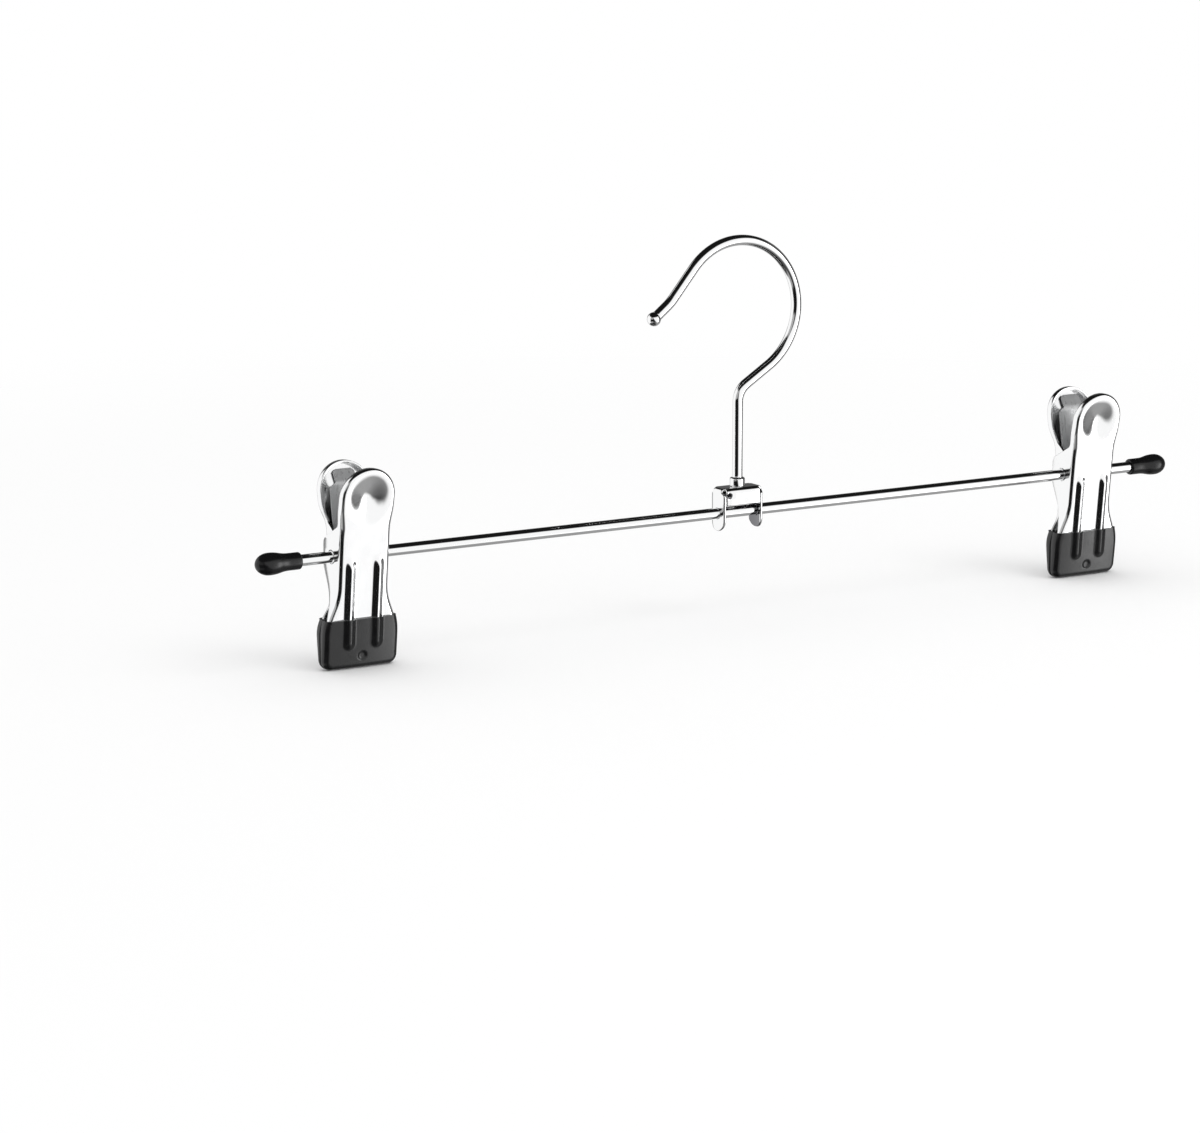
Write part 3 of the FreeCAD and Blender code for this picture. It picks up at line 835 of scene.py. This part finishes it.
def sheet_line(height):
    """Depth of a jaw's plain outer face at a height."""
    height = np.asarray(height, float)
    leg = SHEET_FOOT + SHEET / math.cos(math.atan(LEG_SLOPE)) + (height - SHEET_BOTTOM) * LEG_SLOPE
    past = height - HANDLE_BEND
    blend = (past + HANDLE_BLEND) ** 2 / (4 * HANDLE_BLEND)
    ramp = np.where(past < -HANDLE_BLEND, 0, np.where(past > HANDLE_BLEND, past, blend))
    return leg + (HANDLE_SLOPE - LEG_SLOPE) * ramp


def sheet_slope(height, nudge=0.05):
    """Slope of a jaw's plain outer face at a height."""
    return (sheet_line(height + nudge) - sheet_line(height - nudge)) / (2 * nudge)


def sheet_normals(height):
    """Outward normals of a jaw's plain sheet, without its ribs and dimple."""
    slope = sheet_slope(height, nudge=0.01)
    normals = np.stack((np.zeros_like(slope), np.ones_like(slope), -slope), axis=-1)
    return normals / np.linalg.norm(normals, axis=-1)[..., None]


def bend_at(height):
    """Radius of a jaw's rolled edge, tighter round the thumb pad."""
    tightening = float(smoothstep(EDGE_TIGHT_START, EDGE_TIGHT_END, height))
    return EDGE_BEND - (EDGE_BEND - PAD_EDGE_BEND) * tightening


def lean_inset(height, normal, bend):
    """How far inside the outline a rolled edge starts, and its starting angle."""
    lean = math.atan(float(sheet_slope(height)) * normal[1])
    return bend * (1 + math.sin(lean)), lean


def hump(share):
    """Rounded hump, 1 at its middle and 0 from a share of 1 on."""
    return 0.5 * (1 + np.cos(math.pi * np.clip(share, 0, 1)))


def rib_rise(form, across, height, width, rise):
    beyond = np.maximum(RIB_BOTTOM - height, 0)
    away = np.hypot(np.abs(across) - form.rib_place, beyond)
    start = 1 - smoothstep(RIB_TOP_START, RIB_TOP_END, height)
    return rise * start * hump(away / width)


def dimple_depth(across, height):
    up = height - DIMPLE_HEIGHT
    away = np.hypot(across / DIMPLE_RADIUS, up / np.where(up > 0, DIMPLE_RADIUS, DIMPLE_DROP))
    return DIMPLE_DEPTH * hump(away)


def jaw_face(form, across, height):
    """Depth of a jaw's outer face."""
    ribs = rib_rise(form, across, height, form.rib_width, RIB_RISE)
    return sheet_line(height) + ribs - dimple_depth(across, height)


def tip_face(form, across, height):
    """Depth of a tip's outer face, with the jaw's ribs showing through and a round mark."""
    share = (height - TIP_TOP) / (-CLIP_BOTTOM - TIP_TOP)
    bulge = TIP_BULGE * np.sin(math.pi * np.clip(share, 0, 1))
    mark = MARK_DEPTH * (1 - smoothstep(MARK_FLAT, MARK_EDGE, np.hypot(across, height - MARK_HEIGHT)))
    crown = TIP_CROWN - TIP_CROWN_FALL * across ** 2
    ribs = rib_rise(form, across, height, form.rib_width + TIP_RIB_SPARE, TIP_RIB_RISE)
    return sheet_line(height) + TIP_SKIN + crown + bulge + ribs - mark


def ear_line(form):
    """Edge of a jaw's rim and ear in side view, as heights and depths for interpolation."""
    step = 0.1
    low_end = -30.0

    rim = RIM_DEPTH * RIM_SLANT_SHARE

    def behind(height, depth):
        return float(sheet_line(height)) - depth

    corners = [(behind(RIM_TOP, rim), RIM_TOP, 0), (behind(RIM_END, rim), RIM_END, RIM_DEPTH)]
    corners += [(-form.ear_reach, form.ear_top, form.ear_rounding)]
    corners += [(-form.ear_reach, -form.ear_drop, form.ear_rounding)]
    corners += [(behind(-form.ear_foot, SHEET), -form.ear_foot, EAR_FOOT_BLEND)]
    corners += [(behind(low_end, SHEET), low_end, 0)]
    points, _ = rounded_run(corners, step)
    return points[::-1, 1], points[::-1, 0]


def face_columns(form):
    """Places across the thumb pad where the face's columns start, close together at the ribs."""
    plumb_spare = 0.3
    middle_places = 7
    rib_places = 20
    outer_places = 5
    rib_start = form.rib_place - form.rib_width
    rib_end = form.rib_place + form.rib_width
    middle = np.linspace(0, rib_start, middle_places)
    rib = np.linspace(rib_start, rib_end, rib_places)
    outer = np.linspace(rib_end, PAD_EDGE, outer_places)
    half = np.concatenate((middle, rib[1:], outer[1:]))
    return np.concatenate((-half[:0:-1], half)), rib_end - plumb_spare


def pad_grid(form):
    """Front-view grid of a jaw's face inside its rolled edge, and the outline points round it."""
    step = 0.3
    top_rows = 22
    nothing = 1e-9
    places, plumb = face_columns(form)
    neck = form.waist / 2
    corners = [(JAW_FLARE, JAW_BOTTOM, 0), (JAW_FLARE, FLARE_HEIGHT, form.flare_blend)]
    corners += [(neck, -form.flare_start, form.flare_blend), (neck, NECK_TOP, NECK_BLEND)]
    corners += [(PAD_RADIUS, PAD_START, NECK_BLEND), (PAD_RADIUS, PAD_CENTRE, 0)]
    run, normals = rounded_run(corners, step)
    normals[0] = normals[-1] = (1, 0)
    outside = np.maximum(np.abs(places) - plumb, 0) / (PAD_EDGE - plumb)
    grid = []
    left = []
    right = []
    for point, normal in zip(run, normals):
        inset, _ = lean_inset(point[1], normal, bend_at(point[1]))
        edge = point - inset * normal
        row = np.sign(places) * (np.minimum(np.abs(places), plumb) + outside * (edge[0] - plumb))
        grid.append([(x, edge[1]) for x in row])
        right.append((point, normal))
        left.append((point * (-1, 1), normal * (-1, 1)))

    # The round top is a square grid drawn out to a disc
    shares = places / PAD_EDGE
    last = len(shares) - 1
    top = []
    for v in np.sin(np.linspace(0, 1, top_rows + 1) * math.pi / 2)[1:]:
        row = []
        for index, u in enumerate(shares):
            x = u * math.sqrt(1 - v * v / 2)
            z = v * math.sqrt(1 - u * u / 2)
            reach = math.hypot(x, z)
            normal = np.array((x, z)) / reach if reach > nothing else np.array((0.0, 1.0))
            point = np.array((0, PAD_CENTRE)) + PAD_RADIUS * normal
            inset, _ = lean_inset(point[1], normal, bend_at(point[1]))
            row.append((x * (PAD_RADIUS - inset), PAD_CENTRE + z * (PAD_RADIUS - inset)))
            if index == 0:
                left.append((point, normal))
            elif index == last:
                right.append((point, normal))
            elif v == 1.0:
                top.append((point, normal))
        grid.append(row)
    return np.array(grid), left + top + right[::-1]


def rolled_edge(form, point, normal, rim_depth):
    """Outer and inner runs from a jaw's face round its rolled edge to the bevelled end of its rim."""
    arc_steps = 9
    ease = RIM_BEVEL * KNEE_SHARE
    flat = np.array((normal[0], 0.0, normal[1]))
    bend = bend_at(point[1])
    inset, lean = lean_inset(point[1], normal, bend)
    start = point - inset * normal
    face = np.array((start[0], float(jaw_face(form, start[0], start[1])), start[1]))
    hub = face + bend * (math.sin(lean) * flat - math.cos(lean) * BACK)
    outer = []
    inner = []
    for turn in np.linspace(math.pi / 2 + lean, 0, arc_steps)[1:]:
        facing = math.cos(turn) * flat + math.sin(turn) * BACK
        outer.append(hub + bend * facing)
        inner.append(hub + (bend - SHEET) * facing)
    end = min(rim_depth, hub[1] - RIM_BEVEL - RIM_LEAST)
    wall = np.array((point[0], 0.0, point[1]))
    for share in (0.5, 1.0):
        depth = hub[1] + (end + RIM_BEVEL - hub[1]) * share
        outer.append(wall + depth * BACK)
        inner.append(wall + depth * BACK - SHEET * flat)
    outer.append(wall + (end + ease) * BACK - ease * flat)
    outer.append(wall + end * BACK - RIM_BEVEL * flat)
    inner.append(wall + (end + ease) * BACK - (SHEET - ease) * flat)
    inner.append(wall + end * BACK - (SHEET - RIM_BEVEL) * flat)
    return outer, inner


def jaw_mesh(form):
    """Stamped jaw with its outer face towards +Y: face, rolled edge, rim, ears and the same inside."""
    grid, outline = pad_grid(form)
    across = grid[..., 0]
    height = grid[..., 1]
    outer = np.stack((across, jaw_face(form, across, height), height), axis=-1)
    inner = outer - SHEET * sheet_normals(height)
    skin = Skin()
    outer_rows = [skin.add(row) for row in outer]
    inner_rows = [skin.add(row) for row in inner]
    skin.grid(outer_rows)
    skin.grid([row[::-1] for row in inner_rows])
    ear_heights, ear_depths = ear_line(form)
    outer_runs = []
    inner_runs = []
    for (point, normal), outer_edge, inner_edge in zip(outline, open_edge(outer_rows), open_edge(inner_rows)):
        rim_depth = float(np.interp(point[1], ear_heights, ear_depths))
        outer_run, inner_run = rolled_edge(form, point, normal, rim_depth)
        outer_runs.append([outer_edge] + skin.add(outer_run))
        inner_runs.append([inner_edge] + skin.add(inner_run))
    skin.grid([one + two[::-1] for one, two in zip(outer_runs, inner_runs)])
    skin.band(outer_rows[0], inner_rows[0])
    for index in (0, -1):
        skin.band(outer_runs[index], inner_runs[index])
    return skin.done()


def bar_punch(place, width):
    """Round tool along the bar that eases the edges of a jaw's holes."""
    ease = 0.3
    overrun = 2.0
    low = place - width / 2
    high = place + width / 2
    profile = [(low - overrun, CLIP_BORE + ease + overrun), (low, CLIP_BORE + ease), (low + ease, CLIP_BORE)]
    profile += [(high - ease, CLIP_BORE), (high, CLIP_BORE + ease)]
    profile += [(high + overrun, CLIP_BORE + ease + overrun)]
    return swept(along_x(profile))


def tip_outline(form):
    """Right side of a tip in front view, as points and normals from its top to its bottom corner."""
    step = 0.22
    above = 4.0
    top_spare = 0.1
    corner_spare = 0.01
    neck = form.waist / 2 + TIP_SPARE
    corner = TIP_FLARE - TIP_CORNER
    corners = [(neck, above, 0), (neck, -form.flare_start, form.flare_blend)]
    corners += [(TIP_FLARE, FLARE_HEIGHT, form.flare_blend)]
    corners += [(TIP_FLARE, -CLIP_BOTTOM, TIP_CORNER), (0, -CLIP_BOTTOM, 0)]
    run, normals = rounded_run(corners, step)
    outward = -normals
    marks = []
    for point, normal in zip(run, outward):
        if point[1] < TIP_TOP - top_spare and point[0] > corner + corner_spare:
            marks.append((point, normal))
    cut = np.array((np.interp(-TIP_TOP, -run[:, 1], run[:, 0]), TIP_TOP))
    bottom = np.array((corner, -CLIP_BOTTOM))
    return [(cut, marks[0][1])] + marks + [(bottom, np.array((0.0, -1.0)))]


def tip_side(face_point, flat, lean, bend):
    """Run from a tip's outer face round its edge to its grip face."""
    edge_steps = 12
    ease_steps = 5
    hub = face_point + bend * (math.sin(lean) * flat - math.cos(lean) * BACK)
    run = []
    for turn in np.linspace(math.pi / 2 + lean, 0, edge_steps)[1:]:
        run.append(hub + bend * (math.cos(turn) * flat + math.sin(turn) * BACK))
    rim = run[-1]
    for turn in np.linspace(0, math.pi / 2, ease_steps):
        point = rim - TIP_EASE * (1 - math.cos(turn)) * flat
        point[1] = GRIP_FACE + TIP_EASE * (1 - math.sin(turn))
        run.append(point)
    return run


def tip_mesh(form):
    """Grip tip with its outer face towards +Y, its flat grip face behind and a flat top."""
    columns = 81
    crowding = 1.2
    shares = np.sin(np.linspace(-1, 1, columns) * crowding) / math.sin(crowding)
    rows = []
    left = []
    right = []
    for point, normal in tip_outline(form):
        room = float(sheet_line(point[1])) + TIP_SKIN - GRIP_FACE - TIP_EDGE_LEAST
        bend = min(TIP_BEND, room)
        inset, lean = lean_inset(point[1], normal, bend)
        edge = point - inset * normal
        if not rows:
            edge[1] = TIP_TOP
        rows.append([(edge[0] * share, edge[1]) for share in shares])
        left.append((normal * (-1, 1), lean, bend))
        right.append((normal, lean, bend))
    bottom = [right[-1]] * (columns - 2)
    grid = np.array(rows)
    across = grid[..., 0]
    height = grid[..., 1]
    skin = Skin()
    face = [skin.add(row) for row in np.stack((across, tip_face(form, across, height), height), axis=-1)]
    skin.grid(face)
    edge_points = open_edge(face)
    strips = []
    for index, (normal, lean, bend) in enumerate(left + bottom + right[::-1]):
        flat = np.array((normal[0], 0.0, normal[1]))
        if index in (0, len(edge_points) - 1):
            flat = math.copysign(1.0, normal[0]) * RIGHT
        start = edge_points[index]
        strips.append([start] + skin.add(tip_side(np.array(skin.points[start]), flat, lean, bend)))
    skin.grid(strips)
    skin.faces.append([strip[-1] for strip in strips])
    skin.faces.append(face[0] + strips[-1][1:] + strips[0][:0:-1])
    return skin.done()


def spring_half():
    """Half of the U-shaped leaf, from its middle over the bar out to the +Y tongue."""
    step = 0.3
    columns = 15
    corners = [(0, SPRING_FLOOR, 0), (SPRING_BEND, SPRING_FLOOR, SPRING_BEND)]
    corners += [(SPRING_KNEE_DEPTH, SPRING_KNEE_HEIGHT, SPRING_KNEE_BEND)]
    corners += [(SPRING_END_DEPTH, SPRING_END_HEIGHT, 0)]
    shares = np.linspace(-1, 1, columns)
    skin = Skin()
    rings = []
    for (depth, height), normal in zip(*rounded_run(corners, step)):
        narrowing = SPRING_HALF_WIDTH - TONGUE_HALF_WIDTH
        half = SPRING_HALF_WIDTH - narrowing * float(smoothstep(TONGUE_LOW, TONGUE_HIGH, height))
        half -= TONGUE_NOSE_DRAW * float(smoothstep(TONGUE_NOSE_LOW, TONGUE_NOSE_HIGH, height)) ** 2
        out = np.array((0.0, normal[0], normal[1]))
        outer = np.array([(half * share, depth, height) for share in shares])
        inner = outer - SPRING_SHEET * out
        outer_rim = outer[[0, -1]] - SPRING_EASE * out
        inner_rim = inner[[0, -1]] + SPRING_EASE * out
        for face in (outer, inner):
            face[0, 0] += SPRING_EASE
            face[-1, 0] -= SPRING_EASE
        rim = [outer_rim[1], inner_rim[1], *inner[::-1], inner_rim[0], outer_rim[0]]
        rings.append(skin.add([*outer, *rim]))
    skin.grid([ring + ring[:1] for ring in rings])
    skin.faces.append(rings[0][::-1])
    skin.faces.append(rings[-1])
    return skin.done()


def make_clip(side, place):
    """Front and rear jaw with their tips, and the spring as two leaves."""
    tip_sharp = 50.0
    for half, form, turn in (("front", OUTER_FORM, -1), ("rear", INNER_FORM, 1)):
        body = side + "_" + half + "_clip_half"
        mirror = (1, turn, 1)
        shift = (place, 0, 0)
        node = side + "_" + half + "_jaw"
        points, faces = jaw_mesh(form)
        piece = new_piece(node + "_stamping", points * mirror + shift, faces, SHEET_CHROME)
        pierce(piece, *bar_punch(place, form.waist))
        stand_for(piece, body, node)
        node = side + "_" + half + "_tip"
        points, faces = tip_mesh(form)
        piece = new_piece(node + "_moulding", points * mirror + shift, faces, GRIP_VINYL, tip_sharp)
        stand_for(piece, body, node)
        node = side + "_spring"
        points, faces = spring_half()
        piece = new_piece(node + "_" + half + "_leaf", points * mirror + shift, faces, SPRING_STEEL)
        low = to_row((place, 0, SPRING_STILL_HEIGHT))
        high = to_row((place, turn * SPRING_KNEE_DEPTH, SPRING_KNEE_HEIGHT))
        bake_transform(piece)
        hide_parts(node)


# Stage


class Studio(Tree):
    """A world whose brightness depends on direction."""

    def __init__(self, name):
        world = bpy.data.worlds.new(name)
        bpy.context.scene.world = world
        world.use_nodes = True
        world.cycles.sampling_method = "NONE"
        super().__init__(world.node_tree)
        self.nodes.clear()
        self.x, self.y, self.z = self.split(self.place("Generated"))
        least_level = 0.001
        square = self.plus(self.times(self.x, self.x), self.times(self.y, self.y))
        self.level = self.most(self.calculate("SQRT", square), least_level)

    def plus(self, one, two):
        return self.calculate("ADD", one, two)

    def most(self, first, *others):
        for other in others:
            first = self.calculate("MAXIMUM", first, other)
        return first

    def bearing(self, angle):
        """How near a direction's bearing is to an angle from +Y towards +X, as a cosine."""
        turn = math.radians(angle)
        dot = self.plus(self.times(self.x, math.sin(turn)), self.times(self.y, math.cos(turn)))
        return self.calculate("DIVIDE", dot, self.level)

    def panel(self, angle, half, low, high, soft, fade=4):
        """Soft-edged panel about a bearing, between two heights on the unit sphere."""
        inner = math.cos(math.radians(half - fade))
        outer = math.cos(math.radians(half + fade))
        wide = self.step(self.bearing(angle), outer, inner)
        over = self.step(self.z, low - soft, low + soft)
        under = self.step(self.z, high + soft, high - soft)
        return self.times(wide, self.times(over, under))

    def facing(self, direction, start, end):
        """Fades in across a plane through the middle that faces a direction."""
        dot = self.plus(self.times(self.x, direction[0]), self.times(self.y, direction[1]))
        return self.step(self.plus(dot, self.times(self.z, direction[2])), start, end)


def polished_view(studio):
    """What polished metal sees: white panels with dark gaps between them, over a grey floor."""
    strip_strength = 3.5
    low_glow_strength = 0.35
    side_glow_strength = 0.45
    darkest = 0.008
    key = studio.panel(171, half=49, low=-0.69, high=0.58, soft=0.10, fade=9)
    key = studio.times(key, studio.facing((0.730, -0.328, 0.600), start=-0.07, end=0.17))
    key = studio.most(key, studio.panel(154, half=32, low=-0.40, high=0.58, soft=0.08, fade=6))
    strip = studio.panel(135, half=6, low=-0.45, high=0.20, soft=0.15, fade=6)
    key = studio.plus(key, studio.times(strip, strip_strength))
    side = studio.panel(307, half=40, low=-0.74, high=0.60, soft=0.06)
    rear = studio.panel(14, half=16, low=-0.55, high=0.05, soft=0.06, fade=10)
    behind = studio.panel(45, half=70, low=-0.74, high=0.50, soft=0.10, fade=12)
    behind = studio.times(behind, studio.ramp(studio.z, start=-0.30, end=0.05, low=0.24, high=0.10))
    tint = studio.ramp(studio.bearing(85), start=-0.5, end=0.75, low=0.05, high=0.34)
    ground = studio.times(studio.step(studio.z, start=-0.30, end=-0.62), tint)
    ground = studio.times(ground, studio.step(studio.z, start=-0.93, end=-0.85))
    low_glow = studio.panel(244, half=22, low=-0.80, high=-0.50, soft=0.05, fade=5)
    side_glow = studio.panel(246, half=20, low=0.06, high=0.55, soft=0.06, fade=6)
    ground = studio.most(ground, studio.times(low_glow, low_glow_strength))
    ground = studio.most(ground, studio.times(side_glow, side_glow_strength))
    return studio.most(key, side, rear, behind, ground, darkest)


def make_world():
    """White for the camera, an even dome for matt surfaces, and panels for polished ones."""
    dome_strength = 0.93
    white = 1.0
    studio = Studio("studio")
    path = studio.add("ShaderNodeLightPath")
    lit = studio.mixed(path.outputs["Is Glossy Ray"], dome_strength, polished_view(studio), kind="FLOAT")
    plain = studio.most(path.outputs["Is Camera Ray"], path.outputs["Is Transmission Ray"])
    background = studio.add("ShaderNodeBackground")
    studio.put(background, Color=(1, 1, 1, 1), Strength=studio.mixed(plain, lit, white, kind="FLOAT"))
    output = studio.add("ShaderNodeOutputWorld")
    studio.put(output, Surface=background.outputs[0])


def make_floor():
    """Pale paper that takes the shadow and fades out into the background."""
    count = 64
    ring = []
    for step in range(count):
        turn = 2 * math.pi * step / count
        ring.append((FLOOR_RADIUS * math.cos(turn), FLOOR_RADIUS * math.sin(turn), FLOOR_HEIGHT))
    paper = Material("floor_paper", Base_Color=PAPER, Roughness=0.9, Specular_IOR_Level=0.0)
    distance = paper.add("ShaderNodeVectorMath", operation="LENGTH")
    paper.feed(distance.inputs[0], paper.place("Object"))
    fade = paper.step(distance.outputs["Value"], FADE_START_METRES, FADE_END_METRES)
    clear = paper.add("ShaderNodeBsdfTransparent")
    mix = paper.add("ShaderNodeMixShader")
    for socket, source in zip(mix.inputs, (fade, paper.shader.outputs[0], clear.outputs[0])):
        paper.feed(socket, source)
    paper.feed(paper.nodes["Material Output"].inputs["Surface"], mix.outputs[0])
    floor = new_piece("floor", ring, [tuple(range(count))], paper.material)
    floor.visible_glossy = False


def make_lamp():
    """Large soft lamp from the front, above."""
    data = bpy.data.lights.new("softbox", "AREA")
    data.shape = "DISK"
    data.size = 1.0
    data.energy = 4.6
    target = Vector((0, 0, -0.08))
    lamp = new_object("softbox", data)
    lamp.location = Vector((0.6, -1.1, 1.5))
    lamp.rotation_euler = (target - lamp.location).to_track_quat("-Z", "Y").to_euler()
    lamp.visible_glossy = False


def make_camera():
    azimuth = math.radians(CAMERA_AZIMUTH)
    elevation = math.radians(CAMERA_ELEVATION)
    level = math.cos(elevation)
    away = Vector((math.sin(azimuth) * level, -math.cos(azimuth) * level, math.sin(elevation)))
    aim = Vector(CAMERA_AIM) * MM
    data = bpy.data.cameras.new("camera")
    data.sensor_width = SENSOR_WIDTH
    data.lens = CAMERA_FOCAL_PIXELS / PHOTO_WIDTH_PIXELS * SENSOR_WIDTH
    data.clip_end = 50.0
    camera = new_object("camera", data)
    camera.location = aim + away * CAMERA_DISTANCE_METRES
    camera.rotation_euler = (-away).to_track_quat("-Z", "Y").to_euler()
    bpy.context.scene.camera = camera


make_bar()
make_cap(-1, "left_end_cap")
make_cap(1, "right_end_cap")
make_hook()
make_bracket()
make_clip("left", -CLIP_PLACE)
make_clip("right", CLIP_PLACE)
make_world()
make_floor()
make_lamp()
make_camera()
bpy.context.scene.view_settings.view_transform = "Standard"
